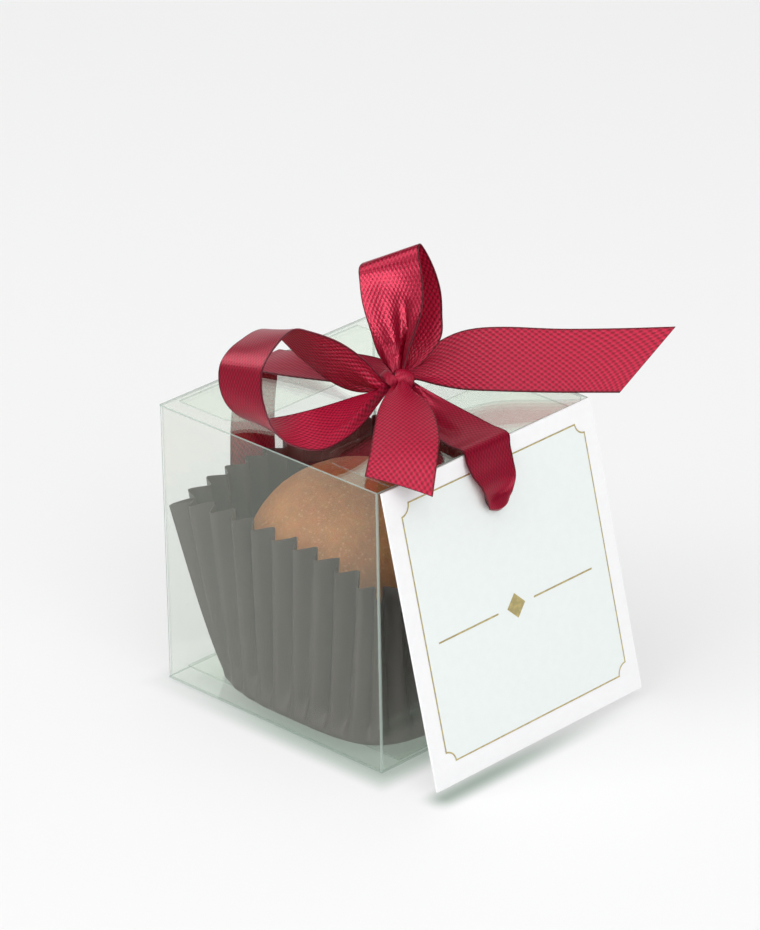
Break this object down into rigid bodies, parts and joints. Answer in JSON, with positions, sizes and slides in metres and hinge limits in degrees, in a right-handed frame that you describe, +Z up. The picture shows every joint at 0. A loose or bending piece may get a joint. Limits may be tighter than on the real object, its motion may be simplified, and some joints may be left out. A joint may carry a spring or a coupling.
{
  "type": "motichoor ladoo gift pack",
  "caption": "Round orange-brown sweet in a dark pleated paper case, shut in a clear folded square box tied with a red satin ribbon bow, with a white card tag on the ribbon.",
  "frame": {"origin": "on the floor, on the flat underside of the ribbon, below the middle of the box", "axes": "+Z up through the middle of the box; -Y out of the box wall that the tag hangs on; -X out of the wall to its left"},
  "size_m": [0.0677, 0.0633, 0.0773],
  "materials": {
    "laddu": "fine grained fried sweet, slightly moist",
    "case_paper": "dark brown greaseproof paper, pleated",
    "clear_film": "clear folded plastic sheet, glossy",
    "tag_card": "smooth white card with a thin gold line frame",
    "satin": "woven satin ribbon, glossy face and ribbed back"
  },
  "bodies": {
    "root": {"laddu": "laddu", "paper_case": "case_paper", "clear_box": "clear_film", "gift_tag": "tag_card", "ribbon": "satin"}
  },
  "joints": []
}
